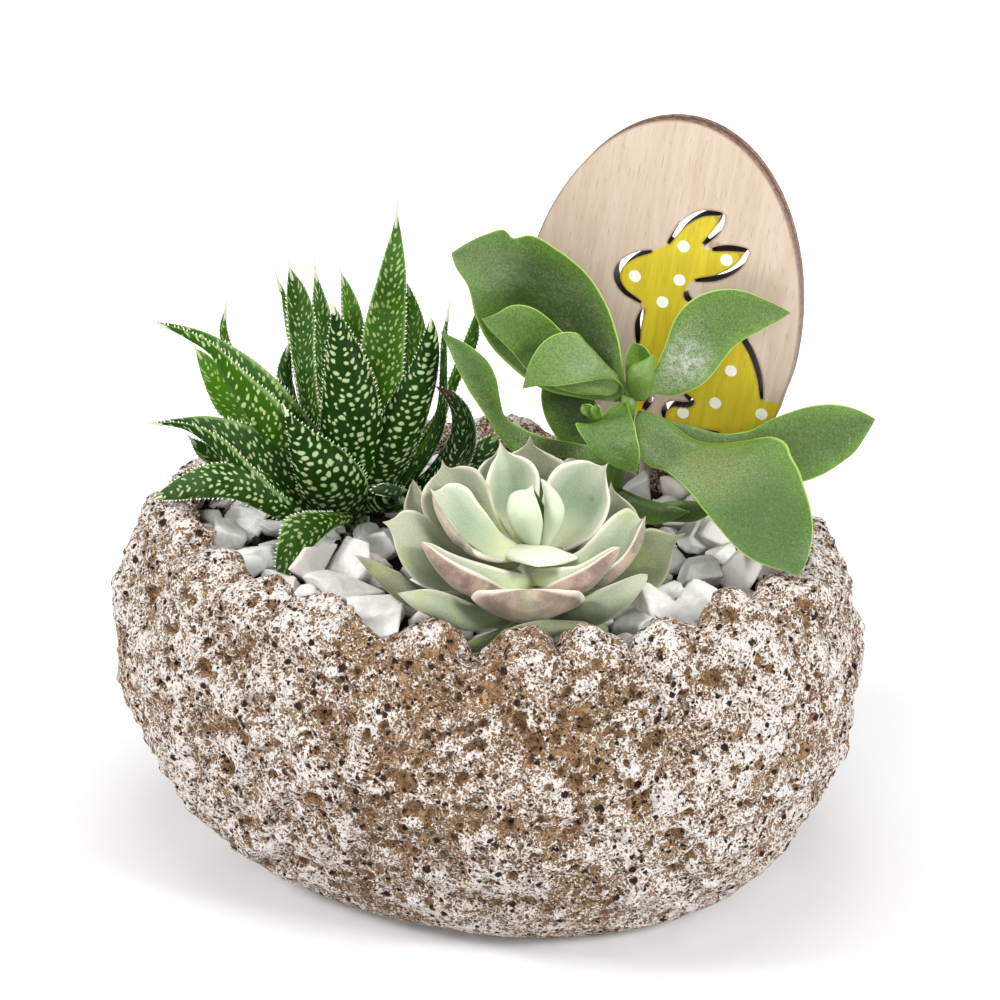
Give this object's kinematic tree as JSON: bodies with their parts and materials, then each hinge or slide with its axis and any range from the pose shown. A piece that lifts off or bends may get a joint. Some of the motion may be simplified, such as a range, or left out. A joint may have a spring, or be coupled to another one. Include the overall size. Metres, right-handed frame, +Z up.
{
  "type": "potted succulent",
  "caption": "Egg-shaped stone bowl with a broken rim, planted with succulents in white chips, with a wooden egg on a pick.",
  "frame": {"origin": "middle of the flat spot that the bowl stands on", "axes": "+Z up, +X along the bowl's long side towards its blunt end, -Y towards the front of the planting"},
  "size_m": [0.202, 0.1536, 0.1941],
  "materials": {
    "porous_stone": "rough and porous, lime-washed",
    "potting_soil": "matte crumbs of bark and peat",
    "white_marble": "crushed, sugary",
    "aloe_leaf": "satin, speckled",
    "powdery_leaf": "powdery bloom",
    "broad_leaf": "satin with a thin bloom",
    "plywood": "bare birch ply"
  },
  "bodies": {
    "root": {"pot": "porous_stone", "soil": "potting_soil", "marble_chips": "white_marble", "speckled_aloe": "aloe_leaf", "echeveria": "powdery_leaf", "leafy_shoot": "broad_leaf", "wooden_egg": "plywood", "pick": "plywood"}
  },
  "joints": []
}
